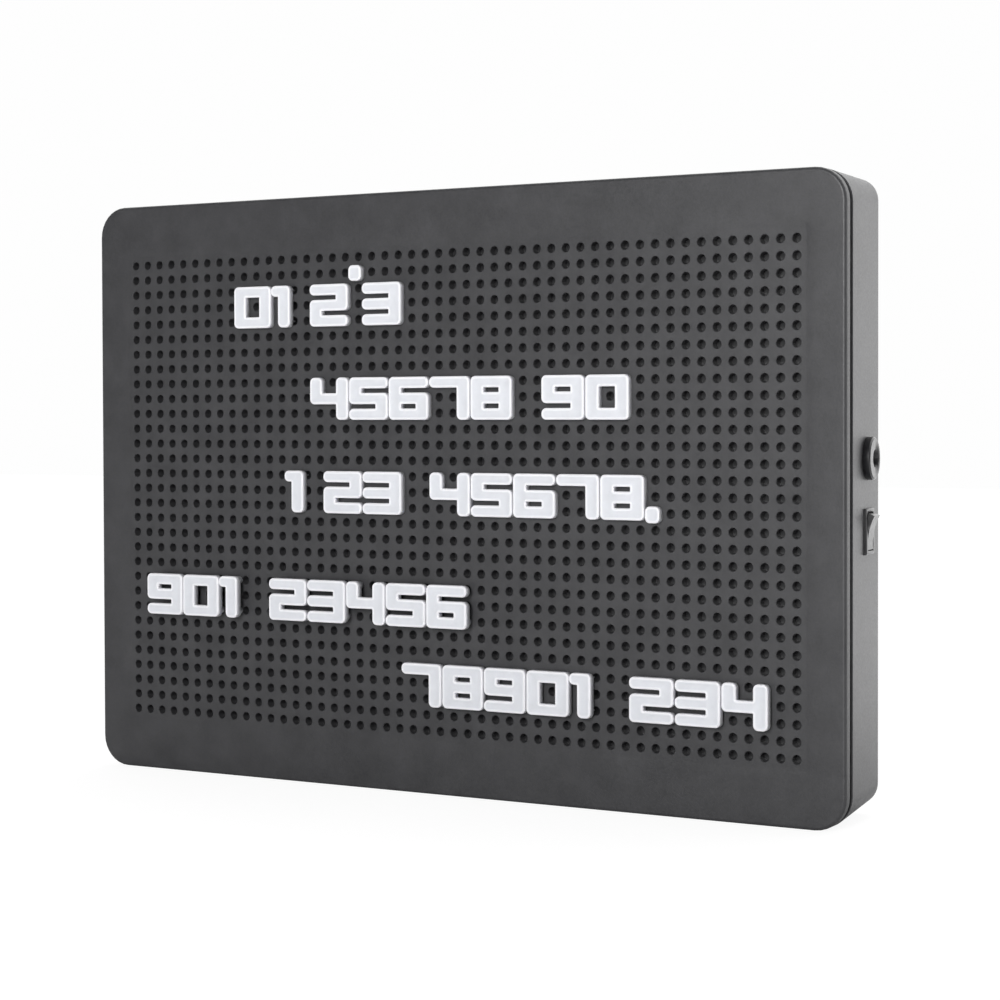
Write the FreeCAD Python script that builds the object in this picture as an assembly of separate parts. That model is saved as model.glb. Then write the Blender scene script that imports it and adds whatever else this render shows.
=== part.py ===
import FreeCAD, Part
import math
import os

V = FreeCAD.Vector

# Peg grid in the front panel, in millimetres
pitch = 5.55
columns = 49
rows = 31
hole_diameter = 3.0
hole_step = 2
peg_clearance = 0.1
peg_length = 3.2
field_margin = 3.9
field_recess = 0.2

# Case, with its borders measured from the middles of the outermost holes
side_border = 16.8
end_border = 22.25
case_depth = 40.0
corner_radius = 11.0
back_corner_radius = 7.5
side_inset = 4.0
top_inset = 0.6
bottom_inset = 2.9
wall = 2.0
panel_thickness = 3.5
panel_edge_round = 1.2
seam_gap = 2.2
rim_chamfer = 0.3
back_edge_round = 1.0
back_edge_step = 0.3

# Lip of the front panel, which drops inside the rear housing
lip_height = 3.0
lip_thickness = 1.4
lip_clearance = 0.15

# Block digits that plug into the grid
upright_stroke = 5.2
level_stroke = 4.0
tile_thickness = 2.7
stroke_end_round = 1.8
corner_probe = 0.3
flag_reach = 3.0
stop_width = 5.4
stop_height = 5.6
row_d_lift = 2.5
row_e_lift = 1.0

# Screws, towers and bosses that hold the two halves together
screw_side_inset = 12.0
screw_end_inset = 10.0
screw_shank = 2.2
screw_shank_length = 18.0
screw_head = 5.2
screw_head_height = 2.0
screw_head_ease = 0.6
screw_slack = 0.5
screw_counterbore = 6.2
screw_seat_depth = 28.0
pilot_gap = 0.05
pilot_spare = 2.0
boss_diameter = 6.0
tower_diameter = 9.2

# Sheets and lights
diffuser_thickness = 1.5
diffuser_overlap = 5.5
diffuser_corner = 2.0
reflector_thickness = 1.0
reflector_bay_gap = 2.6
reflector_margin = 6.0
reflector_hole_gap = 0.3
reflector_notch_gap = 1.0
strip_count = 4
strip_end_gap = 24.0
strip_width = 8.0
strip_thickness = 0.4
strip_spacing = 42.0
chips_per_strip = 12
chip_size = 5.0
chip_height = 1.6

# Battery bay in the back, for four AA cells side by side
cell_diameter = 14.5
cell_length = 50.5
cell_count = 4
cell_gap = 0.7
bay_drop = 12.0
bay_spare_length = 6.5
bay_depth = 16.0
bay_wall = 1.6
door_thickness = 1.8
door_ledge = 2.5
door_clearance = 0.3
door_grip_width = 16.0
door_grip_height = 5.0
door_grip_depth = 0.8
door_rib = 1.2
door_rib_height = 2.0
contact_width = 9.0
contact_thickness = 0.4
contact_bow = 3.0

# Rocker switch on the right side
switch_setback = 15.0
switch_drop = 11.0
bezel_height = 15.0
bezel_width = 10.5
bezel_thickness = 1.0
bezel_chamfer = 0.3
switch_wall = 0.5
switch_cavity_height = 12.6
switch_cavity_width = 7.4
switch_cavity_depth = 5.0
switch_body_depth = 11.0
cutout_clearance = 0.2
rocker_clearance = 0.3
rocker_side_clearance = 0.2
rocker_tilt = 11.0
rocker_rise = 2.1
rocker_dip = 0.8
rocker_under = 2.0
axle_diameter = 1.6
axle_clearance = 0.05
axle_seat = 0.35
tab_width = 4.0
tab_thickness = 0.6
tab_length = 6.0
tab_spacing = 7.0

# Power inlet above the switch
jack_rise = 12.7
jack_flange_diameter = 14.0
jack_flange_thickness = 2.5
jack_flange_chamfer = 0.5
jack_barrel_diameter = 11.0
jack_barrel_length = 12.0
jack_bore_diameter = 6.0
jack_bore_depth = 11.0
jack_pin_diameter = 2.1
jack_pin_setback = 3.0
jack_nut_across = 14.0
jack_nut_thickness = 2.5
jack_thread_gap = 0.1
jack_hole_gap = 0.2

# Base ribs and hanging slots
heel_width = 6.0
heel_start = 8.0
heel_end_gap = 2.0
heel_spacing = 110.0
keyhole_spacing = 150.0
keyhole_drop = 43.0
keyhole_head = 8.0
keyhole_neck = 4.0
keyhole_travel = 8.0

# How far a cutter runs past the wall that it opens
cutter_overrun = 1.0

# Places worked out from the sizes above
case_width = (columns - 1) * pitch + 2 * side_border
case_height = (rows - 1) * pitch + 2 * end_border
half_width = case_width / 2
grid_centre = case_height / 2
housing_start = panel_thickness + seam_gap
draft = math.degrees(math.atan(side_inset / (case_depth - housing_start)))
field_half_width = (columns - 1) / 2 * pitch + field_margin
field_half_height = (rows - 1) / 2 * pitch + field_margin
tile_half_width = pitch + upright_stroke / 2
tile_half_height = pitch + level_stroke / 2
tile_back = field_recess
bay_width = cell_count * cell_diameter + (cell_count + 1) * cell_gap
bay_height = cell_length + bay_spare_length
inside_back = case_depth - wall
door_face = case_depth - door_thickness
bay_floor = door_face - bay_depth
bay_start = bay_floor - bay_wall
bay_middle = grid_centre - bay_drop
reflector_back = bay_start - reflector_bay_gap
reflector_depth = reflector_back - reflector_thickness
keyhole_height = case_height - keyhole_drop
screw_end = screw_seat_depth - screw_shank_length
pilot_start = screw_end - pilot_spare
switch_depth = case_depth - switch_setback
lip_offset = wall + lip_clearance
lip_end = housing_start + lip_height

# Lines of digits: name, middle row of the grid, first column, digits, how far they stand off
digit_groups = (
    ("row_a", 3, 9, "012", 0.0),
    ("row_a", 3, 19, "3", 0.0),
    ("row_b", 9, 15, "45678", 0.0),
    ("row_b", 9, 32, "90", 0.0),
    ("row_c", 15, 13, "123", 0.0),
    ("row_c", 15, 24, "45678", 0.0),
    ("row_d", 22, 2, "901", row_d_lift),
    ("row_d", 22, 12, "23456", row_d_lift),
    ("row_e", 27, 22, "78901", row_e_lift),
    ("row_e", 27, 38, "234", row_e_lift),
)

# Single square stops: name, column, row
stops = (("row_a_stop", 18, 1), ("row_c_stop", 39, 16))


def at_depth(depth):
    """Y of a place that lies depth behind the face of the front panel."""
    return depth - case_depth / 2


def grid_x(column):
    return (column - (columns - 1) / 2) * pitch


def grid_z(row):
    return grid_centre + ((rows - 1) / 2 - row) * pitch


def rounded_outline(left, right, bottom, top, radius, depth):
    """Closed wire of a rounded rectangle that faces along Y."""
    y = at_depth(depth)
    corners = (
        (right - radius, bottom + radius, -90),
        (right - radius, top - radius, 0),
        (left + radius, top - radius, 90),
        (left + radius, bottom + radius, 180),
    )
    arcs = []
    for x, z, start in corners:
        turns = [math.radians(start + step) for step in (0, 45, 90)]
        points = [V(x + radius * math.cos(a), y, z + radius * math.sin(a)) for a in turns]
        arcs.append(points)
    edges = []
    for index, points in enumerate(arcs):
        following = arcs[(index + 1) % len(arcs)]
        edges.append(Part.Arc(*points).toShape())
        edges.append(Part.makeLine(points[2], following[0]))
    return Part.Wire(edges)


def case_outline(offset, depth, radius):
    """Outline of the case, moved inwards by offset."""
    return rounded_outline(
        offset - half_width, half_width - offset, offset, case_height - offset, radius, depth)


def slab(wire, thickness):
    """Solid with the outline of wire, from its own depth towards the back."""
    return Part.Face(wire).extrude(V(0, thickness, 0))


def centred_slab(across, tall, radius, depth, thickness, x=0.0, z=None):
    """Rounded plate centred on x and z, which is the grid's centre if it isn't given."""
    middle = grid_centre if z is None else z
    wire = rounded_outline(
        x - across / 2, x + across / 2, middle - tall / 2, middle + tall / 2, radius, depth)
    return slab(wire, thickness)


def box(x, depth, z, across, thickness, tall):
    """Plain block centred on x and z, from depth towards the back."""
    return Part.makeBox(across, thickness, tall, V(x - across / 2, at_depth(depth), z - tall / 2))


def round_bar(x, z, diameter, start, end):
    """Round bar along Y between two depths."""
    return Part.makeCylinder(diameter / 2, end - start, V(x, at_depth(start), z), V(0, 1, 0))


def screw_places():
    places = []
    reach = half_width - screw_side_inset
    for x in (-reach, 0.0, reach):
        for z in (screw_end_inset, case_height - screw_end_inset):
            places.append((x, z))
    return places


def digit_gaps(digit):
    """Rectangles, as x and z limits, that are cut from the block to leave the digit."""
    out_x = 2 * tile_half_width
    out_z = 2 * tile_half_height
    eye = pitch - upright_stroke / 2
    near = level_stroke / 2
    far = pitch - level_stroke / 2
    bar = upright_stroke / 2
    upper_eye = (-eye, eye, near, far)
    lower_eye = (-eye, eye, -far, -near)
    upper_left = (-out_x, eye, near, far)
    lower_left = (-out_x, eye, -far, -near)
    upper_right = (-eye, out_x, near, far)
    lower_right = (-eye, out_x, -far, -near)
    under_flag = (-out_x, -bar, -out_z, far)
    left_of_flag = (-out_x, -bar - flag_reach, 0, out_z)
    right_of_bar = (bar, out_x, -out_z, out_z)
    gaps = {
        "0": ((-eye, eye, -far, far),),
        "1": (under_flag, left_of_flag, right_of_bar),
        "2": (upper_left, lower_right),
        "3": (upper_left, lower_left),
        "4": ((-eye, eye, near, out_z), (-out_x, eye, -out_z, -near)),
        "5": (upper_right, lower_left),
        "6": (upper_right, lower_eye),
        "7": ((-out_x, eye, -out_z, far),),
        "8": (upper_eye, lower_eye),
        "9": (upper_eye, lower_left),
    }
    return gaps[digit]


def peg_points(digit):
    """Two grid holes of the block that the digit's pegs enter, as steps from its middle."""
    if digit == "1":
        return ((0, 1), (0, -1))
    return ((-1, 1), (1, -1))


def pegs(points, x, z, lift):
    """Round pegs that reach from the tile's back into the panel."""
    diameter = hole_diameter - 2 * peg_clearance
    start = tile_back - lift
    return [
        round_bar(x + step_x * pitch, z + step_z * pitch, diameter, start, start + peg_length)
        for step_x, step_z in points]


def is_outer_corner(solid, edge):
    """True where the solid fills only one of the four quarters round an edge along Y."""
    middle = edge.CenterOfMass
    probes = [
        middle + V(across * corner_probe, 0, up * corner_probe)
        for across in (-1, 1) for up in (-1, 1)]
    return sum(solid.isInside(probe, 0.0, False) for probe in probes) == 1


def rounded_stroke_ends(plate):
    """The plate with its outer corners rounded, as a cutter leaves them, and its inner ones sharp."""
    uprights = [edge for edge in plate.Edges if edge.BoundBox.YLength > tile_thickness / 2]
    corners = [edge for edge in uprights if is_outer_corner(plate, edge)]
    return plate.makeFillet(stroke_end_round, corners)


def digit_tile(digit, x, z, lift):
    """One block digit: a plate with slots between its strokes, and two pegs behind."""
    front = tile_back - lift - tile_thickness
    plate = box(x, front, z, 2 * tile_half_width, tile_thickness, 2 * tile_half_height)
    gaps = [
        Part.makeBox(right - left, tile_thickness, high - low, V(x + left, at_depth(front), z + low))
        for left, right, low, high in digit_gaps(digit)]
    plate = rounded_stroke_ends(plate.cut(gaps))
    return plate.fuse(pegs(peg_points(digit), x, z, lift))


def stop_tile(x, z):
    """Square stop on one peg."""
    front = tile_back - tile_thickness
    plate = box(x, front, z, stop_width, tile_thickness, stop_height)
    return rounded_stroke_ends(plate).fuse(pegs(((0, 0),), x, z, 0.0))


def tiles():
    """Every digit and stop: name, what it shows, its middle, and how far it stands off."""
    listed = []
    counts = {}
    for line, row, column, digits, lift in digit_groups:
        for index, digit in enumerate(digits):
            counts[line] = counts.get(line, 0) + 1
            name = "%s_digit_%d" % (line, counts[line])
            listed.append((name, digit, grid_x(column + 1 + 3 * index), grid_z(row), lift))
    for name, column, row in stops:
        listed.append((name, ".", grid_x(column), grid_z(row), 0.0))
    return listed


def peg_holes():
    """Round holes of the grid: one in hole_step each way, and all those that hold a peg."""
    places = [
        (grid_x(column), grid_z(row))
        for column in range(0, columns, hole_step) for row in range(0, rows, hole_step)]
    for name, digit, x, z, lift in tiles():
        points = ((0, 0),) if digit == "." else peg_points(digit)
        places += [(x + step_x * pitch, z + step_z * pitch) for step_x, step_z in points]
    separate = {(round(x / pitch, 1), round(z / pitch, 1)): (x, z) for x, z in places}
    return [round_bar(x, z, hole_diameter, 0.0, panel_thickness) for x, z in separate.values()]


def front_panel():
    """Grid plate with a rounded rim, a lip behind it and six screw bosses."""
    plate = slab(case_outline(0.0, 0.0, corner_radius), panel_thickness)
    rim = [edge for edge in plate.Edges if edge.BoundBox.YMax < at_depth(panel_thickness / 2)]
    plate = plate.makeFillet(panel_edge_round, rim)
    field = centred_slab(
        2 * field_half_width, 2 * field_half_height, panel_edge_round, 0.0, field_recess)
    added = [drafted_block(lip_offset).cut(drafted_block(lip_offset + lip_thickness))]
    cuts = [field] + peg_holes()
    for x, z in screw_places():
        added.append(round_bar(x, z, boss_diameter, panel_thickness, reflector_back))
        pilot = screw_shank + 2 * pilot_gap
        cuts.append(round_bar(x, z, pilot, pilot_start, reflector_back))
    return plate.fuse(added).cut(cuts)


def drafted_block(inward):
    """Block from the panel's back to the lip's end, whose sides lean in with the housing's walls."""
    return Part.makeLoft(
        [housing_section(panel_thickness, inward), housing_section(lip_end, inward)], True, True)


def housing_inset(depth):
    """How far the drafted walls have come in at a depth: sides, top and bottom."""
    share = (depth - housing_start) / (case_depth - housing_start)
    return side_inset * share, top_inset * share, bottom_inset * share


def housing_section(depth, inward):
    """Outline of the housing at a depth, moved inwards."""
    side, above, below = housing_inset(depth)
    share = (depth - housing_start) / (case_depth - housing_start)
    radius = corner_radius + (back_corner_radius - corner_radius) * share - inward
    return rounded_outline(
        side + inward - half_width, half_width - side - inward,
        below + inward, case_height - above - inward, radius, depth)


def housing_shell():
    """Drafted tray with an open front, a chamfered front rim and an eased back edge."""
    outer = Part.makeLoft([
        housing_section(housing_start, rim_chamfer),
        housing_section(housing_start + rim_chamfer, 0.0),
        housing_section(case_depth - back_edge_round, 0.0),
        housing_section(case_depth - back_edge_step, back_edge_step),
        housing_section(case_depth, back_edge_round),
    ], True, True)
    inner = Part.makeLoft([
        housing_section(housing_start, wall),
        housing_section(inside_back, wall),
    ], True, True)
    return outer.cut(inner)


def heels():
    """Wedge ribs under the drafted base, level with the front rim."""
    ribs = []
    for x in (-heel_spacing, 0.0, heel_spacing):
        ends = (heel_start, case_depth - heel_end_gap)
        low = [V(x - heel_width / 2, at_depth(depth), 0.0) for depth in ends]
        high = [
            V(x - heel_width / 2, at_depth(depth), housing_inset(depth)[2] + wall / 2)
            for depth in reversed(ends)]
        side = Part.makePolygon(low + high + low[:1])
        ribs.append(Part.Face(side).extrude(V(heel_width, 0, 0)))
    return ribs


def keyhole(x):
    """Hanging slot through the back wall: a round entry with a narrower neck above it."""
    start = inside_back - cutter_overrun
    end = case_depth + cutter_overrun
    neck = box(x, start, keyhole_height + keyhole_travel / 2, keyhole_neck, end - start, keyhole_travel)
    top = keyhole_height + keyhole_travel
    return [
        round_bar(x, keyhole_height, keyhole_head, start, end),
        round_bar(x, top, keyhole_neck, start, end),
        neck]


def rear_housing():
    """Moulded tray with screw towers, a battery bay, side cut-outs and hanging slots."""
    added = heels()
    cuts = []
    for x, z in screw_places():
        added.append(round_bar(x, z, tower_diameter, reflector_back, inside_back))
        cuts.append(round_bar(x, z, screw_shank + screw_slack, reflector_back, case_depth))
        cuts.append(round_bar(x, z, screw_counterbore, screw_seat_depth, case_depth))
    outer_width = bay_width + 2 * bay_wall
    outer_height = bay_height + 2 * bay_wall
    added.append(box(0.0, bay_start, bay_middle, outer_width, inside_back - bay_start, outer_height))
    frame_width = bay_width + 2 * door_ledge + 2 * bay_wall
    frame_height = bay_height + 2 * door_ledge + 2 * bay_wall
    frame_start = door_face - bay_wall
    frame_depth = inside_back - frame_start
    added.append(box(0.0, frame_start, bay_middle, frame_width, frame_depth, frame_height))
    cuts.append(box(0.0, bay_floor, bay_middle, bay_width, case_depth - bay_floor, bay_height))
    ledge_width = bay_width + 2 * door_ledge
    ledge_height = bay_height + 2 * door_ledge
    cuts.append(box(0.0, door_face, bay_middle, ledge_width, door_thickness, ledge_height))
    for x in (-keyhole_spacing / 2, keyhole_spacing / 2):
        cuts += keyhole(x)
    cuts.append(on_side(switch_cutout(), switch_place()))
    cuts.append(on_side(jack_cutout(), jack_place()))
    return housing_shell().fuse(added).cut(cuts)


def battery_door():
    """Flush door with a finger recess and two ribs that drop into the bay."""
    across = bay_width + 2 * door_ledge - 2 * door_clearance
    tall = bay_height + 2 * door_ledge - 2 * door_clearance
    plate = centred_slab(across, tall, door_rib, door_face, door_thickness, 0.0, bay_middle)
    grip_z = bay_middle + tall / 2 - door_grip_height
    grip = centred_slab(
        door_grip_width, door_grip_height, door_rib, case_depth - door_grip_depth,
        door_grip_depth, 0.0, grip_z)
    ribs = []
    for side in (-1, 1):
        offset = side * (bay_height / 2 - door_clearance - door_rib / 2)
        ribs.append(box(
            0.0, door_face - door_rib_height, bay_middle + offset,
            bay_width - 2 * door_clearance, door_rib_height, door_rib))
    return plate.cut(grip).fuse(ribs)


def cell_places():
    step = cell_diameter + cell_gap
    return [(index - (cell_count - 1) / 2) * step for index in range(cell_count)]


def contact_depth():
    """Depth of the cells' middle line."""
    return bay_floor + cell_diameter / 2


def battery_plates():
    """Flat contact plates on one end wall of the bay, one for each cell."""
    solids = []
    for index, x in enumerate(cell_places()):
        side = 1 if index % 2 else -1
        z = bay_middle + side * (bay_height / 2 - contact_thickness / 2)
        start = contact_depth() - contact_width / 2
        solids.append(box(x, start, z, contact_width, contact_width, contact_thickness))
    return solids


def battery_springs():
    """Bowed leaf contacts at the other end of each cell."""
    solids = []
    for index, x in enumerate(cell_places()):
        side = -1 if index % 2 else 1
        wall_z = bay_middle + side * bay_height / 2
        start = at_depth(contact_depth() - contact_width / 2)
        half = contact_width / 2
        outer = Part.Arc(V(x - half, start, wall_z), V(x, start, wall_z - side * contact_bow),
                         V(x + half, start, wall_z)).toShape()
        inner = Part.Arc(V(x + half - 2 * contact_thickness, start, wall_z),
                         V(x, start, wall_z - side * (contact_bow - contact_thickness)),
                         V(x - half + 2 * contact_thickness, start, wall_z)).toShape()
        feet = [
            Part.makeLine(V(x + half, start, wall_z), V(x + half - 2 * contact_thickness, start, wall_z)),
            Part.makeLine(V(x - half + 2 * contact_thickness, start, wall_z), V(x - half, start, wall_z))]
        profile = Part.Face(Part.Wire([outer, feet[0], inner, feet[1]]))
        solids.append(profile.extrude(V(0, contact_width, 0)))
    return solids


def diffuser_sheet():
    """Smoked sheet against the back of the grid, which spreads the light behind the tiles."""
    across = 2 * (field_half_width - field_margin + diffuser_overlap)
    tall = 2 * (field_half_height - field_margin + diffuser_overlap)
    return centred_slab(across, tall, diffuser_corner, panel_thickness, diffuser_thickness)


def reflector_sheet():
    """White sheet on the screw towers, notched at its right edge for the switch and the inlet."""
    side, above, below = housing_inset(reflector_back)
    inset = wall + reflector_margin
    wire = rounded_outline(
        side + inset - half_width, half_width - side - inset,
        below + inset, case_height - above - inset, back_corner_radius, reflector_depth)
    hole = boss_diameter + 2 * reflector_hole_gap
    cuts = [round_bar(x, z, hole, reflector_depth, reflector_back) for x, z in screw_places()]
    reach = max(jack_barrel_length, switch_body_depth) + reflector_notch_gap
    inner_end = side_x(switch_depth) - reach
    low = switch_place().z - switch_body_size()[1] / 2 - reflector_notch_gap
    high = jack_place().z + jack_barrel_diameter / 2 + reflector_notch_gap
    cuts.append(box(
        (inner_end + half_width) / 2, reflector_depth, (low + high) / 2,
        half_width - inner_end, reflector_thickness, high - low))
    return slab(wire, reflector_thickness).cut(cuts)


def strip_heights():
    middle = (strip_count - 1) / 2
    return [grid_centre + (index - middle) * strip_spacing for index in range(strip_count)]


def strip_length():
    return case_width - 2 * strip_end_gap


def led_strips():
    start = reflector_depth - strip_thickness
    return [
        box(0.0, start, z, strip_length(), strip_thickness, strip_width) for z in strip_heights()]


def led_chips():
    step = strip_length() / chips_per_strip
    start = reflector_depth - strip_thickness - chip_height
    solids = []
    for z in strip_heights():
        for index in range(chips_per_strip):
            x = (index - (chips_per_strip - 1) / 2) * step
            solids.append(box(x, start, z, chip_size, chip_height, chip_size))
    return solids


def case_screws():
    """Pan-head screws, from the back through the towers into the bosses."""
    solids = []
    for x, z in screw_places():
        head_end = screw_seat_depth + screw_head_height
        head = round_bar(x, z, screw_head, screw_seat_depth, head_end)
        rim = [edge for edge in head.Edges if abs(edge.BoundBox.YMin - at_depth(head_end)) < corner_probe]
        head = head.makeChamfer(screw_head_ease, rim[:1])
        shank = round_bar(x, z, screw_shank, screw_end, screw_seat_depth)
        solids.append(head.fuse(shank))
    return solids


def side_x(depth):
    """X of the right wall's outer face at a depth."""
    return half_width - housing_inset(depth)[0]


def switch_place():
    return V(side_x(switch_depth), at_depth(switch_depth), grid_centre - switch_drop)


def jack_place():
    return V(side_x(switch_depth), at_depth(switch_depth), grid_centre + jack_rise)


def on_side(shape, place):
    """Turns a shape that is built along +X so that it stands square on the drafted side wall."""
    turned = shape.copy()
    turned.rotate(V(0, 0, 0), V(0, 0, 1), draft)
    turned.translate(place)
    return turned


def side_box(start, end, across, tall):
    """Block along X between two heights over the side wall, centred on the origin."""
    return Part.makeBox(end - start, across, tall, V(start, -across / 2, -tall / 2))


def side_bar(start, end, diameter):
    return Part.makeCylinder(diameter / 2, end - start, V(start, 0, 0), V(1, 0, 0))


def switch_body_size():
    return switch_cavity_width + 2 * switch_wall, switch_cavity_height + 2 * switch_wall


def switch_cutout():
    across, tall = switch_body_size()
    return side_box(-2 * wall, wall, across + 2 * cutout_clearance, tall + 2 * cutout_clearance)


def switch_housing():
    """Open box with a bevelled bezel, and bearing holes for the rocker's axle."""
    across, tall = switch_body_size()
    bezel = side_box(0.0, bezel_thickness, bezel_width, bezel_height)
    rim = [edge for edge in bezel.Edges if edge.BoundBox.XMin > bezel_thickness / 2]
    bezel = bezel.makeChamfer(bezel_chamfer, rim)
    body = side_box(-switch_body_depth, 0.0, across, tall)
    cavity = side_box(-switch_cavity_depth, bezel_thickness, switch_cavity_width, switch_cavity_height)
    bearing = Part.makeCylinder(
        axle_diameter / 2 + axle_clearance, across, V(0, -across / 2, 0), V(0, 1, 0))
    return on_side(bezel.fuse(body).cut([cavity, bearing]), switch_place())


def switch_rocker():
    """Rocker with a dished face, ends that turn about the axle, and two stub axles."""
    reach = switch_cavity_height / 2 - rocker_clearance
    across = switch_cavity_width - 2 * rocker_side_clearance
    rise_z = math.sqrt(reach ** 2 - rocker_rise ** 2)
    under_z = math.sqrt(reach ** 2 - rocker_under ** 2)
    y = -across / 2
    top = V(rocker_rise, y, rise_z)
    bottom = V(rocker_rise, y, -rise_z)
    edges = [
        Part.Arc(top, V(rocker_rise - rocker_dip, y, 0), bottom).toShape(),
        Part.Arc(bottom, V(0, y, -reach), V(-rocker_under, y, -under_z)).toShape(),
        Part.makeLine(V(-rocker_under, y, -under_z), V(-rocker_under, y, under_z)),
        Part.Arc(V(-rocker_under, y, under_z), V(0, y, reach), top).toShape(),
    ]
    body = Part.Face(Part.Wire(edges)).extrude(V(0, across, 0))
    axle_length = switch_cavity_width + 2 * axle_seat
    axle = Part.makeCylinder(axle_diameter / 2, axle_length, V(0, -axle_length / 2, 0), V(0, 1, 0))
    rocker = body.fuse(axle)
    rocker.rotate(V(0, 0, 0), V(0, 1, 0), rocker_tilt)
    return on_side(rocker, switch_place())


def switch_terminals():
    solids = []
    for side in (-1, 1):
        tab = Part.makeBox(
            tab_length, tab_width, tab_thickness,
            V(-switch_body_depth - tab_length, -tab_width / 2, side * tab_spacing / 2 - tab_thickness / 2))
        solids.append(on_side(tab, switch_place()))
    return solids


def jack_cutout():
    return side_bar(-2 * wall, wall, jack_barrel_diameter + jack_hole_gap)


def jack_body():
    """Round flange on a barrel, with a blind socket."""
    flange = side_bar(0.0, jack_flange_thickness, jack_flange_diameter)
    rim = [edge for edge in flange.Edges if edge.BoundBox.XMin > jack_flange_thickness / 2]
    flange = flange.makeChamfer(jack_flange_chamfer, rim[:1])
    barrel = side_bar(-jack_barrel_length, 0.0, jack_barrel_diameter)
    socket = side_bar(jack_flange_thickness - jack_bore_depth, jack_flange_thickness, jack_bore_diameter)
    return on_side(flange.fuse(barrel).cut(socket), jack_place())


def jack_pin():
    """Centre pin that stands on the socket's floor."""
    floor = jack_flange_thickness - jack_bore_depth
    pin = side_bar(floor, jack_flange_thickness - jack_pin_setback, jack_pin_diameter)
    return on_side(pin, jack_place())


def jack_nut():
    """Hexagon nut against the inside of the wall."""
    seat = -wall * math.cos(math.radians(draft))
    radius = jack_nut_across / math.sqrt(3)
    turns = [math.radians(60 * k) for k in range(7)]
    corners = [
        V(seat - jack_nut_thickness, radius * math.cos(turn), radius * math.sin(turn))
        for turn in turns]
    hexagon = Part.Face(Part.makePolygon(corners)).extrude(V(jack_nut_thickness, 0, 0))
    bore = side_bar(seat - jack_nut_thickness, seat, jack_barrel_diameter + 2 * jack_thread_gap)
    return on_side(hexagon.cut(bore), jack_place())


def jack_terminals():
    solids = []
    for side in (-1, 1):
        tab = Part.makeBox(
            tab_length, tab_width, tab_thickness,
            V(-jack_barrel_length - tab_length, -tab_width / 2, side * tab_spacing / 4 - tab_thickness / 2))
        solids.append(on_side(tab, jack_place()))
    return solids


def save(name, shape):
    solids = shape if isinstance(shape, list) else [shape]
    result = solids[0] if len(solids) == 1 else Part.makeCompound(solids)
    result.exportStep("parts/%s.step" % name)


os.makedirs("parts", exist_ok=True)
save("front_panel", front_panel())
save("rear_housing", rear_housing())
save("battery_door", battery_door())
save("battery_plates", battery_plates())
save("battery_springs", battery_springs())
save("diffuser_sheet", diffuser_sheet())
save("reflector_sheet", reflector_sheet())
save("led_strips", led_strips())
save("led_chips", led_chips())
save("case_screws", case_screws())
save("switch_housing", switch_housing())
save("switch_rocker", switch_rocker())
save("switch_terminals", switch_terminals())
save("jack_body", jack_body())
save("jack_pin", jack_pin())
save("jack_nut", jack_nut())
save("jack_terminals", jack_terminals())
for name, digit, x, z, lift in tiles():
    tile = stop_tile(x, z) if digit == "." else digit_tile(digit, x, z, lift)
    save(name, tile)
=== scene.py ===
import math

import bmesh
import bpy
import numpy as np
from mathutils import Matrix, Vector


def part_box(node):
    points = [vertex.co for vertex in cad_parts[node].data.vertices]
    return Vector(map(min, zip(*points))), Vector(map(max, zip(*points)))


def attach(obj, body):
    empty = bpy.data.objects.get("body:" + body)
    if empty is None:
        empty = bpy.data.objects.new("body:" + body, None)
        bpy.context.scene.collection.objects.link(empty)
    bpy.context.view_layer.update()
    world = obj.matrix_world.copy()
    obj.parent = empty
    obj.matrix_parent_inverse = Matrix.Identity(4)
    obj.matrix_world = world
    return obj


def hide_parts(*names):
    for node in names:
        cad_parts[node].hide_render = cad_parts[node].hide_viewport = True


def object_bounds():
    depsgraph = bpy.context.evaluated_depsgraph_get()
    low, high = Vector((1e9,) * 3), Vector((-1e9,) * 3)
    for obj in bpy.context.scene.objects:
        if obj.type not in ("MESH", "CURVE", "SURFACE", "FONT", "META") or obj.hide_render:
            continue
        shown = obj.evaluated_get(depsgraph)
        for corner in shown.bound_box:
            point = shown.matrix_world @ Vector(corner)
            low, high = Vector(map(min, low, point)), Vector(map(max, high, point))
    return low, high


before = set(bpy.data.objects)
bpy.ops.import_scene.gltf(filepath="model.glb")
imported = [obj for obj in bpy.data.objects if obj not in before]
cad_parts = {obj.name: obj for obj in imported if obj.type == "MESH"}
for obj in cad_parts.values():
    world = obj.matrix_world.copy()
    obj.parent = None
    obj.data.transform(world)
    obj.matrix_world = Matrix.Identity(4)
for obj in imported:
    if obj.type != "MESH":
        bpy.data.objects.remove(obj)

cad_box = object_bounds()

MM = 0.001

# Grid panel
panel_low, panel_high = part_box("front_panel")
panel_half_width = (panel_high.x - panel_low.x) / 2
panel_half_height = (panel_high.z - panel_low.z) / 2
panel_middle = (panel_high.z + panel_low.z) / 2
panel_face = panel_low.y
panel_thickness = 3.5 * MM
panel_corner = 11.0 * MM
edge_round = 1.2 * MM
field_corner = 1.2 * MM
pitch = 5.55 * MM
columns = 49
rows = 31
hole_radius = 1.5 * MM
hole_bevel = 0.2 * MM
hole_sides = 16
corner_steps = 8
edge_steps = 6
field_margin = 3.9 * MM
field_recess = 0.2 * MM
step_bevel = 2.6 * MM
back_bevel = 0.2 * MM
lip_inset = 2.15 * MM
lip_thickness = 1.4 * MM
lip_reach = 5.2 * MM
lip_lean = 0.45 * MM

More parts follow.
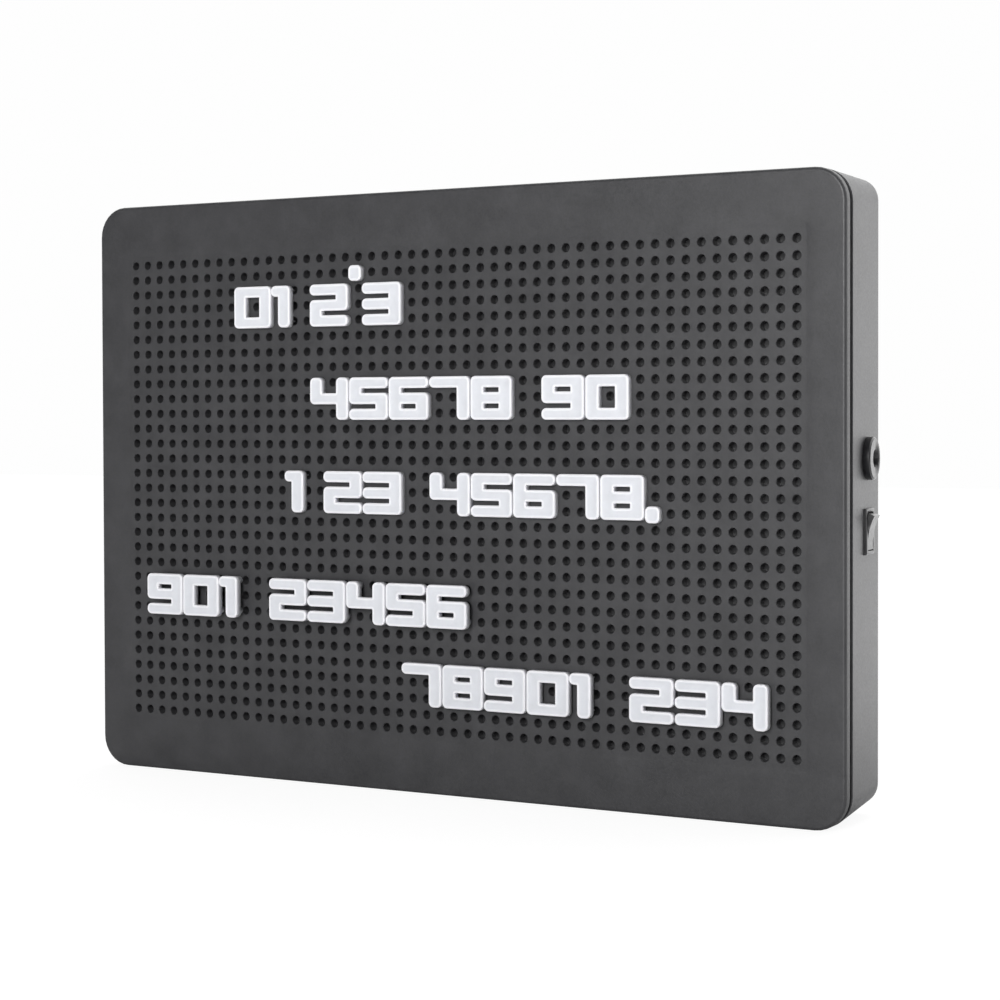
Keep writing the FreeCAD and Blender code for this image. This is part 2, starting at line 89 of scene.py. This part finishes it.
# Block digits. A plate hangs a little lower than its pegs, and keeps a hair's gap from the board.
upright_stroke = 5.2 * MM
level_stroke = 4.0 * MM
tile_thickness = 2.7 * MM
outer_round = 1.8 * MM
inner_round = 0.25 * MM
flag_reach = 3.0 * MM
tile_edge = 0.5 * MM
rim_width = 0.65 * MM
dish_inset = 1.1 * MM
rim_sink = 0.02 * MM
dish_depth = 0.16 * MM
plate_droop = 0.35 * MM
seat_gap = 0.02 * MM
arc_steps = 6
peg_radius = 1.4 * MM
peg_length = 3.2 * MM
peg_taper = 0.25 * MM
peg_pinhole = 0.02 * MM
peg_sides = 16
row_digits = {
    "row_a": "0123",
    "row_b": "4567890",
    "row_c": "12345678",
    "row_d": "90123456",
    "row_e": "78901234",
}

# Meshes: points closer than this are one, and edges sharper than these angles stay crisp
merge_distance = 0.001 * MM
shortest_edge = 0.0001 * MM
panel_crisp = 35.0
tile_crisp = 50.0
case_crisp = 20.0
fitting_crisp = 25.0
flat_enough = 0.9999

# Camera, found from the photograph's grid of holes
lens_mm = 81.8
sensor_mm = 36.0
camera_eye = Vector((410.6, -694.6, 134.05)) * MM
camera_yaw = math.radians(-29.82)
camera_pitch = math.radians(-1.255)
camera_roll = math.radians(-0.166)
camera_shift = (0.0013, -0.0396)

# Surroundings: a dim room behind the camera, which fades to a white backdrop behind the object
room_light = 0.1
backdrop_light = 2.0
seen_white = 0.99
room_end = -0.1
backdrop_start = 0.5

# Floor: what the camera sees of its own glow, and the light it sends up behind the object
floor_reach = 3.0
floor_glow = 0.9
floor_backlight = 1.4
backlight_full = 0.4

# Lamp
lamp_place = (0.27, -1.4, 0.5)
lamp_target = (0.05, 0.0, 0.12)
lamp_size = 0.5
lamp_watts = 18.2


def linear(hex_colour):
    """Turns an sRGB hex colour into linear RGBA."""
    values = [int(hex_colour[i:i + 2], 16) / 255 for i in (1, 3, 5)]
    return [v / 12.92 if v <= 0.04045 else ((v + 0.055) / 1.055) ** 2.4 for v in values] + [1.0]


def add(tree, kind, inputs=None, **settings):
    """Adds a node, sets its properties, and fills its sockets with values or links."""
    made = tree.nodes.new(kind)
    for key, value in settings.items():
        setattr(made, key, value)
    for socket, value in (inputs or {}).items():
        if isinstance(value, bpy.types.NodeSocket):
            tree.links.new(value, made.inputs[socket])
        else:
            made.inputs[socket].default_value = value
    return made


def new_material(name):
    """Empty node material with its output, and the tree it is made in."""
    material = bpy.data.materials.new(name)
    material.use_nodes = True
    tree = material.node_tree
    tree.nodes.clear()
    return material, tree


def finish_material(tree, shader):
    """Ends a material's tree with the shader that covers its surface."""
    add(tree, "ShaderNodeOutputMaterial", {"Surface": shader.outputs[0]})


def moulded_abs(name, dark, light, roughness):
    """ABS from a spark-eroded mould: fine grain, and faint clouding where the melt flowed.

    The real grain is about 0.1 mm. It is drawn at 0.7 mm so that it shows in the render.
    """
    material, tree = new_material(name)
    place = add(tree, "ShaderNodeTexCoord").outputs["Object"]
    cloud = add(tree, "ShaderNodeTexNoise", {
        "Vector": place, "Scale": 1 / 0.011, "Detail": 4.0, "Roughness": 0.6})
    grain = add(tree, "ShaderNodeTexNoise", {
        "Vector": place, "Scale": 1 / 0.0007, "Detail": 2.0, "Roughness": 0.55})
    both = add(tree, "ShaderNodeMix", {
        0: 0.35, "A": cloud.outputs["Fac"], "B": grain.outputs["Fac"]}, data_type="FLOAT")
    colour = add(tree, "ShaderNodeValToRGB", {"Fac": both.outputs[0]})
    colour.color_ramp.elements[0].position = 0.3
    colour.color_ramp.elements[0].color = linear(dark)
    colour.color_ramp.elements[1].position = 0.7
    colour.color_ramp.elements[1].color = linear(light)
    rough = add(tree, "ShaderNodeMapRange", {
        "Value": grain.outputs["Fac"], "From Min": 0.3, "From Max": 0.7,
        "To Min": roughness - 0.05, "To Max": roughness + 0.06})
    bump = add(tree, "ShaderNodeBump", {
        "Height": grain.outputs["Fac"], "Strength": 0.12, "Distance": 0.0002})
    shader = add(tree, "ShaderNodeBsdfPrincipled", {
        "Base Color": colour.outputs["Color"], "Roughness": rough.outputs["Result"],
        "Normal": bump.outputs["Normal"], "IOR": 1.52})
    finish_material(tree, shader)
    return material


def milky_styrene():
    """Milky polystyrene: light goes a little way in. Its whiter rim is a painted edge glow, and its greyer
    middle is painted shade where the dark board shows through.
    """
    material, tree = new_material("milky_styrene")
    # The rim value paints light: 1 gives the painted edge glow, 0 the painted shade of the thin middle.
    rim = add(tree, "ShaderNodeAttribute", attribute_name="rim").outputs["Fac"]
    place = add(tree, "ShaderNodeTexCoord").outputs["Object"]
    cloud = add(tree, "ShaderNodeTexNoise", {
        "Vector": place, "Scale": 1 / 0.0035, "Detail": 3.0, "Roughness": 0.6})
    middle = add(tree, "ShaderNodeMix", {
        0: cloud.outputs["Fac"], "A": linear("#CDCFD4"), "B": linear("#DBDDE2")}, data_type="RGBA")
    # Painted light: the middle's grey blends into the rim's painted white glow.
    colour = add(tree, "ShaderNodeMix", {
        0: rim, "A": middle.outputs[2], "B": linear("#E8E8EC")}, data_type="RGBA")
    bump = add(tree, "ShaderNodeBump", {
        "Height": cloud.outputs["Fac"], "Strength": 0.25, "Distance": 0.0002})
    shader = add(tree, "ShaderNodeBsdfPrincipled", {
        "Base Color": colour.outputs[2], "Roughness": 0.38, "IOR": 1.59,
        "Subsurface Weight": 0.35, "Subsurface Radius": (1.0, 1.0, 1.05),
        "Subsurface Scale": 0.0012, "Normal": bump.outputs["Normal"]})
    finish_material(tree, shader)
    return material


def plain_finish(name, base, second, grain_size, roughness, metallic, ior):
    """Smooth finish with a faint change of tone and gloss at a real grain size, in metres."""
    material, tree = new_material(name)
    place = add(tree, "ShaderNodeTexCoord").outputs["Object"]
    grain = add(tree, "ShaderNodeTexNoise", {
        "Vector": place, "Scale": 1 / grain_size, "Detail": 3.0, "Roughness": 0.5})
    colour = add(tree, "ShaderNodeMix", {
        0: grain.outputs["Fac"], "A": linear(base), "B": linear(second)}, data_type="RGBA")
    rough = add(tree, "ShaderNodeMapRange", {
        "Value": grain.outputs["Fac"], "From Min": 0.3, "From Max": 0.7,
        "To Min": roughness - 0.04, "To Max": roughness + 0.05})
    shader = add(tree, "ShaderNodeBsdfPrincipled", {
        "Base Color": colour.outputs[2], "Roughness": rough.outputs["Result"],
        "Metallic": metallic, "IOR": ior})
    finish_material(tree, shader)
    return material


case_abs = moulded_abs("matt_black_abs", "#2D2D2F", "#3D3D3F", 0.45)
tile_styrene = milky_styrene()
# Nylon 66 straight from a polished mould: dark, with a soft shine
switch_nylon = plain_finish("satin_nylon", "#1F1F21", "#29292B", 0.0012, 0.33, 0.0, 1.53)
# Smoked acrylic: looks black while the lights are off. Its near-black colour is also painted shade, which
# makes the holes in front of it look dark.
smoked_shade_acrylic = plain_finish("smoked_shade_acrylic", "#151517", "#1B1B1D", 0.004, 0.35, 0.0, 1.49)
# Extruded polystyrene sheet, white and matt
white_styrene = plain_finish("white_styrene", "#E9E9E6", "#F1F1EF", 0.003, 0.6, 0.0, 1.59)
# Flexible circuit board under white solder mask
white_solder_mask = plain_finish("white_solder_mask", "#E6E5DD", "#F0EFE8", 0.002, 0.45, 0.0, 1.5)
# Silicone with yellow phosphor over each chip
phosphor_resin = plain_finish("phosphor_resin", "#E6D88A", "#EFE39C", 0.001, 0.3, 0.0, 1.41)
# Blackened steel screws with worn high spots
black_steel = plain_finish("blackened_steel", "#4A4A4C", "#5F5F60", 0.0006, 0.42, 1.0, 1.5)
# Nickel plate on spring steel and on the inlet's pin and nut
nickel_plate = plain_finish("nickel_plate", "#C9C8C2", "#D6D5D0", 0.0008, 0.25, 1.0, 1.5)
# Tinned brass solder tabs
tinned_brass = plain_finish("tinned_brass", "#C9BC8F", "#D5CCAA", 0.0008, 0.35, 1.0, 1.5)


def build_mesh(name, vertices, faces, sharp_angle, rim=None):
    """Makes a piece from an array of points and a list of faces, merged and facing outwards."""
    mesh = bpy.data.meshes.new(name)
    mesh.from_pydata(vertices.tolist(), [], faces)
    # A rim array is painted light: each point's whiteness for the painted edge glow.
    if rim is not None:
        layer = mesh.attributes.new("rim", "FLOAT", "POINT")
        layer.data.foreach_set("value", np.asarray(rim, np.float32))
    tidy_mesh(mesh, sharp_angle)
    piece = bpy.data.objects.new(name, mesh)
    bpy.context.scene.collection.objects.link(piece)
    return piece


def tidy_mesh(mesh, sharp_angle):
    """Merges doubles, drops empty faces, turns faces outwards and marks sharp edges."""
    shape = bmesh.new()
    shape.from_mesh(mesh)
    bmesh.ops.remove_doubles(shape, verts=shape.verts, dist=merge_distance)
    bmesh.ops.dissolve_degenerate(shape, edges=shape.edges, dist=shortest_edge)
    bmesh.ops.recalc_face_normals(shape, faces=shape.faces)
    shape.to_mesh(mesh)
    shape.free()
    mesh.shade_smooth()
    mesh.set_sharp_from_angle(angle=math.radians(sharp_angle))


def keep_flats(piece):
    """Weighs the shading by area, so that large flat faces stay flat where they meet rounded ones."""
    weighted = piece.modifiers.new("weighted_normals", "WEIGHTED_NORMAL")
    weighted.keep_sharp = True
    weighted.mode = "FACE_AREA"


def strip_quads(ring_count, ring_size):
    """Quads between closed rings of points that follow each other in one array."""
    ring = np.arange(ring_count - 1)[:, None] * ring_size
    step = np.arange(ring_size)[None, :]
    following = (step + 1) % ring_size
    quads = np.stack([ring + step, ring + following,
                      ring + ring_size + following, ring + ring_size + step], axis=-1)
    return quads.reshape(-1, 4)


def rectangle_ring(half_x, half_z, radius, depth):
    """Rounded rectangle about the panel's middle, its points in step with the cells' borders.

    Each side is an even row of points between the corner arcs, and each arc is a quarter circle.
    """
    along = np.linspace(-1, 1, 2 * columns + 1)
    up = np.linspace(-1, 1, 2 * rows + 1)
    turn = np.linspace(0, math.pi / 2, corner_steps + 1)[1:-1]
    x = half_x - radius
    z = half_z - radius
    sides = []
    sides.append(np.stack([x * along, np.full_like(along, -half_z)], 1))
    sides.append(np.stack([x + radius * np.sin(turn), -z - radius * np.cos(turn)], 1))
    sides.append(np.stack([np.full_like(up, half_x), z * up], 1))
    sides.append(np.stack([x + radius * np.cos(turn), z + radius * np.sin(turn)], 1))
    sides.append(np.stack([-x * along, np.full_like(along, half_z)], 1))
    sides.append(np.stack([-x - radius * np.sin(turn), z + radius * np.cos(turn)], 1))
    sides.append(np.stack([np.full_like(up, -half_x), -z * up], 1))
    sides.append(np.stack([-x - radius * np.cos(turn), -z - radius * np.sin(turn)], 1))
    flat = np.concatenate(sides)
    level = np.full(len(flat), panel_face + depth)
    return np.stack([flat[:, 0], level, flat[:, 1] + panel_middle], 1)


def panel_border():
    """Rings from the grid's border over the rim, round the lip and back to the grid's border.

    The front edge is a quarter circle: inset r - r sin a, depth r - r cos a.
    """
    grid_x = columns * pitch / 2
    grid_z = rows * pitch / 2
    field_x = (columns - 1) / 2 * pitch + field_margin
    field_z = (rows - 1) / 2 * pitch + field_margin
    rings = [
        rectangle_ring(grid_x, grid_z, 0.0, field_recess),
        rectangle_ring(field_x, field_z, field_corner, field_recess),
        rectangle_ring(field_x + step_bevel, field_z + step_bevel, field_corner + step_bevel, 0.0),
    ]
    profile = [
        (edge_round * (1 - math.sin(a)), edge_round * (1 - math.cos(a)))
        for a in np.linspace(0, math.pi / 2, edge_steps + 1)]
    lip_back = panel_thickness + lip_reach
    lip_inner = lip_inset + lip_thickness
    profile += [
        (0.0, panel_thickness - back_bevel), (back_bevel, panel_thickness),
        (lip_inset, panel_thickness), (lip_inset + lip_lean, lip_back),
        (lip_inner + lip_lean, lip_back), (lip_inner, panel_thickness)]
    for inset, depth in profile:
        rings.append(rectangle_ring(
            panel_half_width - inset, panel_half_height - inset, panel_corner - inset, depth))
    rings.append(rectangle_ring(grid_x, grid_z, 0.0, panel_thickness))
    return np.concatenate(rings), strip_quads(len(rings), len(rings[0]))


def hole_cell():
    """One cell of the grid: a square with a bevelled round hole right through it.

    Its rings are the square, the bevel, the hole's two ends and the square behind.
    """
    turn = np.arange(hole_sides) * 2 * math.pi / hole_sides
    circle = np.stack([np.cos(turn), np.sin(turn)], 1)
    corner = circle[::2] / np.abs(circle[::2]).max(1)[:, None] * pitch / 2
    outer = hole_radius + hole_bevel
    levels = [
        (corner, field_recess),
        (circle * outer, field_recess),
        (circle * hole_radius, field_recess + hole_bevel),
        (circle * hole_radius, panel_thickness),
        (corner, panel_thickness)]
    points = np.concatenate([
        np.stack([flat[:, 0], np.full(len(flat), depth), flat[:, 1]], 1) for flat, depth in levels])
    half = hole_sides // 2
    faces = []
    for first_square, first_circle in ((0, half), (half + 3 * hole_sides, half + 2 * hole_sides)):
        for k in range(half):
            here = first_circle + 2 * k
            between = here + 1
            ahead = first_circle + (2 * k + 2) % hole_sides
            corner_here = first_square + k
            corner_ahead = first_square + (k + 1) % half
            faces.append((here, between, corner_here))
            faces.append((corner_here, between, corner_ahead))
            faces.append((between, ahead, corner_ahead))
    walls = strip_quads(3, hole_sides) + half
    return points, faces, walls


def grid_panel():
    """The whole front: every cell of the grid, inside its recess, rim and lip."""
    points, faces, walls = hole_cell()
    x = (np.arange(columns) - (columns - 1) / 2) * pitch
    z = (np.arange(rows) - (rows - 1) / 2) * pitch + panel_middle
    places = np.stack(np.meshgrid(x, [panel_face], z, indexing="ij"), -1).reshape(-1, 1, 3)
    cells = (points[None] + places).reshape(-1, 3)
    start = np.arange(columns * rows)[:, None, None] * len(points)
    triangles = (np.array(faces)[None] + start).reshape(-1, 3)
    quads = (walls[None] + start).reshape(-1, 4)
    border, border_quads = panel_border()
    vertices = np.concatenate([cells, border])
    all_faces = triangles.tolist() + quads.tolist() + (border_quads + len(cells)).tolist()
    piece = build_mesh("grid_panel", vertices, all_faces, panel_crisp)
    keep_flats(piece)
    piece.data.materials.append(case_abs)
    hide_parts("front_panel")
    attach(piece, "case")
    return piece


def digit_outlines(digit):
    """Corners of a digit's outer edge, anticlockwise, and of its eyes, clockwise."""
    w = pitch + upright_stroke / 2
    h = pitch + level_stroke / 2
    e = pitch - upright_stroke / 2
    n = level_stroke / 2
    f = pitch - level_stroke / 2
    b = upright_stroke / 2
    g = b + flag_reach
    block = [(-w, -h), (w, -h), (w, h), (-w, h)]
    upper_eye = [(-e, f), (e, f), (e, n), (-e, n)]
    lower_eye = [(-e, -n), (e, -n), (e, -f), (-e, -f)]
    upper_left = [(-w, f), (e, f), (e, n), (-w, n)]
    lower_left = [(-w, -n), (e, -n), (e, -f), (-w, -f)]
    upper_right = [(w, n), (-e, n), (-e, f), (w, f)]
    lower_right = [(w, -f), (-e, -f), (-e, -n), (w, -n)]
    outlines = {
        "0": [block, [(-e, f), (e, f), (e, -f), (-e, -f)]],
        "1": [[(-b, -h), (b, -h), (b, h), (-g, h), (-g, f), (-b, f)]],
        "2": [block[:2] + lower_right + block[2:] + upper_left],
        "3": [block + upper_left + lower_left],
        "4": [[(e, -h), (w, -h), (w, h), (e, h), (e, n),
               (-e, n), (-e, h), (-w, h), (-w, -n), (e, -n)]],
        "5": [block[:2] + upper_right + block[2:] + lower_left],
        "6": [block[:2] + upper_right + block[2:], lower_eye],
        "7": [[(e, -h), (w, -h), (w, h), (-w, h), (-w, f), (e, f)]],
        "8": [block, upper_eye, lower_eye],
        "9": [block + lower_left, upper_eye],
    }
    return outlines[digit]


def inset_ring(corners, inset):
    """The outline moved inwards, with an arc at each corner.

    The arc's centre stays where it is: an outer corner's radius shrinks by the inset, and an
    inner corner's grows by it.
    """
    here = np.array(corners)
    before = here - np.roll(here, 1, 0)
    after = np.roll(here, -1, 0) - here
    before /= np.linalg.norm(before, axis=1)[:, None]
    after /= np.linalg.norm(after, axis=1)[:, None]
    normal_in = np.stack([-before[:, 1], before[:, 0]], 1)
    normal_out = np.stack([-after[:, 1], after[:, 0]], 1)
    turns_left = (before[:, 0] * after[:, 1] - before[:, 1] * after[:, 0]) > 0
    sign = np.where(turns_left, -1.0, 1.0)[:, None]
    radius = np.where(turns_left, outer_round, inner_round)[:, None]
    centre = here - sign * radius * (normal_in + normal_out)
    reach = radius + sign * inset
    turn = np.linspace(0, math.pi / 2, arc_steps + 1)[None, :, None]
    fan = normal_in[:, None] * np.cos(turn) + normal_out[:, None] * np.sin(turn)
    ring = centre[:, None] + (sign * reach)[:, None] * fan
    return ring.reshape(-1, 2)


def tile_profile(front, back):
    """Inset, depth and painted whiteness from the back edge over the rounded rim into the shallow dish.

    The rim is a quarter circle. Whiteness is painted light: 1 is the painted edge glow on the thick rim, and
    0 the painted shade in the thin middle.
    """
    profile = [(back_bevel, back, 0.6), (0.0, back - back_bevel, 0.8)]
    for a in np.linspace(math.pi / 2, 0, 5):
        profile.append((tile_edge * (1 - math.sin(a)), front + tile_edge * (1 - math.cos(a)), 1.0))
    profile.append((rim_width, front + rim_sink, 0.9))
    profile.append((dish_inset, front + dish_depth, 0.0))
    return profile


def peg_rings(x, z, back):
    """A round peg with a tapered end: circles of these radii at these depths, joined in turn.

    Both ends are flat discs, closed but for a pinhole in the middle.
    """
    turn = np.arange(peg_sides) * 2 * math.pi / peg_sides
    tip = back + peg_length
    levels = (
        (peg_pinhole, back), (peg_radius, back), (peg_radius, tip - peg_taper),
        (peg_radius - peg_taper, tip), (peg_pinhole, tip))
    rings = [
        np.stack([x + radius * np.cos(turn), np.full(peg_sides, depth), z + radius * np.sin(turn)], 1)
        for radius, depth in levels]
    return np.concatenate(rings), strip_quads(len(levels), peg_sides)


def tile_piece(name, outlines, peg_steps):
    """A digit or stop: its profile carried along each outline, with both faces filled in."""
    low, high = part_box(name)
    middle_z = (low.z + high.z) / 2
    middle_x = round((low.x + high.x) / 2 / (pitch / 2)) * pitch / 2
    front = low.y
    back = front + tile_thickness - seat_gap
    profile = tile_profile(front, back)
    shape = bmesh.new()
    # Each point's painted whiteness: painted edge glow on the rim, painted shade in the middle.
    rim_glow_layer = shape.verts.layers.float.new("rim")
    front_edges = []
    back_edges = []
    for corners in outlines:
        rings = []
        for inset, depth, rim in profile:
            flat = inset_ring(corners, inset)
            verts = []
            for x, z in flat.tolist():
                vert = shape.verts.new((middle_x + x, depth, middle_z - plate_droop + z))
                vert[rim_glow_layer] = rim
                verts.append(vert)
            rings.append(verts)
        for lower, upper in zip(rings, rings[1:]):
            for k in range(len(lower)):
                ahead = (k + 1) % len(lower)
                shape.faces.new((lower[k], lower[ahead], upper[ahead], upper[k]))
        for ring, edges in ((rings[0], back_edges), (rings[-1], front_edges)):
            for k in range(len(ring)):
                edges.append(shape.edges.get((ring[k], ring[(k + 1) % len(ring)])))
    for edges in (front_edges, back_edges):
        bmesh.ops.triangle_fill(shape, use_beauty=True, use_dissolve=False, edges=edges)
    for step_x, step_z in peg_steps:
        points, quads = peg_rings(middle_x + step_x * pitch, middle_z + step_z * pitch, back)
        verts = [shape.verts.new(point) for point in points.tolist()]
        for quad in quads.tolist():
            shape.faces.new([verts[k] for k in quad])
    mesh = bpy.data.meshes.new(name + "_moulding")
    shape.to_mesh(mesh)
    shape.free()
    tidy_mesh(mesh, tile_crisp)
    piece = bpy.data.objects.new(name + "_moulding", mesh)
    bpy.context.scene.collection.objects.link(piece)
    mesh.materials.append(tile_styrene)
    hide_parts(name)
    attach(piece, name + "_body")
    return piece


def all_tiles():
    """Every digit of every row, and the two stops. A 1 has its pegs in one column."""
    for line, digits in row_digits.items():
        for index, digit in enumerate(digits):
            steps = ((0, 1), (0, -1)) if digit == "1" else ((-1, 1), (1, -1))
            tile_piece("%s_digit_%d" % (line, index + 1), digit_outlines(digit), steps)
    for name in ("row_a_stop", "row_c_stop"):
        low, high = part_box(name)
        half_x = (high.x - low.x) / 2
        half_z = (high.z - low.z) / 2
        square = [(-half_x, -half_z), (half_x, -half_z), (half_x, half_z), (-half_x, half_z)]
        tile_piece(name, [square], ((0, 0),))


def smooth_copy(node, body, material, sharp_angle=fitting_crisp):
    """A merged copy of a CAD node, so that its rounded faces shade smoothly."""
    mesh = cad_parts[node].data.copy()
    mesh.name = node + "_surface"
    mesh.materials.clear()
    mesh.materials.append(material)
    tidy_mesh(mesh, sharp_angle)
    piece = bpy.data.objects.new(node + "_surface", mesh)
    bpy.context.scene.collection.objects.link(piece)
    keep_flats(piece)
    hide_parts(node)
    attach(piece, body)
    return piece


def flatten_back(piece):
    """Shades the faces that look straight back as true flats, so that no streak crosses the wall.

    A face looks straight back where its normal's Y is all but 1.
    """
    faces = piece.data.polygons
    normals = np.empty(len(faces) * 3, np.float32)
    faces.foreach_get("normal", normals)
    faces.foreach_set("use_smooth", normals[1::3] < flat_enough)


def paint(node, material):
    """Gives a CAD node that stays as it is its real finish."""
    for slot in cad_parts[node].material_slots:
        slot.material = material


def dress_frame():
    """Gives every solid that isn't drawn anew its shading and its finish."""
    flatten_back(smooth_copy("rear_housing", "case", case_abs, case_crisp))
    smooth_copy("battery_door", "door", case_abs)
    smooth_copy("switch_housing", "case", switch_nylon)
    smooth_copy("switch_rocker", "rocker", switch_nylon)
    smooth_copy("jack_body", "case", switch_nylon)
    # The diffuser's near-black colour is painted shade, seen through the holes.
    paint("diffuser_sheet", smoked_shade_acrylic)
    paint("reflector_sheet", white_styrene)
    paint("led_strips", white_solder_mask)
    paint("led_chips", phosphor_resin)
    paint("case_screws", black_steel)
    for node in ("battery_plates", "battery_springs", "jack_pin", "jack_nut"):
        paint(node, nickel_plate)
    for node in ("jack_terminals", "switch_terminals"):
        paint(node, tinned_brass)


def pale_floor():
    """Large pale sheet that looks white to the camera and still takes the object's shadow."""
    mesh = bpy.data.meshes.new("floor")
    level = cad_box[0][2]
    reach = floor_reach
    corners = [(-reach, -reach, level), (reach, -reach, level), (reach, reach, level), (-reach, reach, level)]
    mesh.from_pydata(corners, [], [(0, 1, 2, 3)])
    floor = bpy.data.objects.new("floor", mesh)
    bpy.context.scene.collection.objects.link(floor)
    material, tree = new_material("pale_paper")
    matt = add(tree, "ShaderNodeBsdfDiffuse", {"Color": linear("#6F6F6F")})
    glow = add(tree, "ShaderNodeEmission", {"Color": linear("#FFFFFF"), "Strength": floor_glow})
    both = add(tree, "ShaderNodeAddShader", {0: matt.outputs[0], 1: glow.outputs[0]})
    plain = add(tree, "ShaderNodeBsdfDiffuse", {"Color": linear("#E0E0E0")})
    place = add(tree, "ShaderNodeTexCoord").outputs["Object"]
    parts = add(tree, "ShaderNodeSeparateXYZ", {"Vector": place})
    behind = add(tree, "ShaderNodeMapRange", {
        "Value": parts.outputs["Y"], "From Min": 0.0, "From Max": backlight_full,
        "To Min": 0.0, "To Max": floor_backlight})
    backlit = add(tree, "ShaderNodeEmission", {
        "Color": linear("#FFFFFF"), "Strength": behind.outputs["Result"]})
    lit = add(tree, "ShaderNodeAddShader", {0: plain.outputs[0], 1: backlit.outputs[0]})
    rays = add(tree, "ShaderNodeLightPath")
    choice = add(tree, "ShaderNodeMixShader", {
        0: rays.outputs["Is Camera Ray"], 1: lit.outputs[0], 2: both.outputs[0]})
    finish_material(tree, choice)
    mesh.materials.append(material)


def studio_world():
    """White backdrop behind the object, which fades to a dimmer room behind the camera.

    The camera itself sees plain white all round.
    """
    world = bpy.data.worlds.new("studio")
    world.use_nodes = True
    tree = world.node_tree
    tree.nodes.clear()
    direction = add(tree, "ShaderNodeTexCoord").outputs["Generated"]
    parts = add(tree, "ShaderNodeSeparateXYZ", {"Vector": direction})
    strength = add(tree, "ShaderNodeMapRange", {
        "Value": parts.outputs["Y"], "From Min": room_end, "From Max": backdrop_start,
        "To Min": room_light, "To Max": backdrop_light}, interpolation_type="SMOOTHSTEP")
    rays = add(tree, "ShaderNodeLightPath")
    seen = add(tree, "ShaderNodeMath", {
        0: rays.outputs["Is Camera Ray"],
        1: rays.outputs["Is Transmission Ray"]}, operation="MAXIMUM")
    studio = add(tree, "ShaderNodeBackground", {
        "Color": linear("#FFFFFF"), "Strength": strength.outputs["Result"]})
    white = add(tree, "ShaderNodeBackground", {"Color": linear("#FFFFFF"), "Strength": seen_white})
    mix = add(tree, "ShaderNodeMixShader", {
        0: seen.outputs[0], 1: studio.outputs[0], 2: white.outputs[0]})
    add(tree, "ShaderNodeOutputWorld", {"Surface": mix.outputs[0]})
    bpy.context.scene.world = world


def soft_lamp(name, place, target, size, power):
    """Square studio lamp that faces the target."""
    light = bpy.data.lights.new(name, "AREA")
    light.size = size
    light.energy = power
    lamp = bpy.data.objects.new(name, light)
    bpy.context.scene.collection.objects.link(lamp)
    direction = Vector(target) - Vector(place)
    lamp.rotation_euler = direction.to_track_quat("-Z", "Y").to_euler()
    lamp.location = place


def photo_camera():
    """Camera at the photograph's place, turned by yaw, pitch and roll.

    Forward is (sin yaw cos pitch, cos yaw cos pitch, sin pitch).
    """
    data = bpy.data.cameras.new("camera")
    data.lens = lens_mm
    data.sensor_width = sensor_mm
    data.sensor_fit = "HORIZONTAL"
    data.shift_x, data.shift_y = camera_shift
    forward = Vector((
        math.sin(camera_yaw) * math.cos(camera_pitch),
        math.cos(camera_yaw) * math.cos(camera_pitch),
        math.sin(camera_pitch)))
    level = Vector((math.cos(camera_yaw), -math.sin(camera_yaw), 0.0))
    upright = level.cross(forward)
    right = level * math.cos(camera_roll) + upright * math.sin(camera_roll)
    up = right.cross(forward)
    turn = Matrix((right, up, -forward)).transposed()
    camera = bpy.data.objects.new("camera", data)
    bpy.context.scene.collection.objects.link(camera)
    camera.matrix_world = Matrix.Translation(camera_eye) @ turn.to_4x4()
    bpy.context.scene.camera = camera


grid_panel()
all_tiles()
dress_frame()
pale_floor()
studio_world()
soft_lamp("front_lamp", lamp_place, lamp_target, lamp_size, lamp_watts)
photo_camera()
bpy.context.scene.view_settings.view_transform = "Standard"
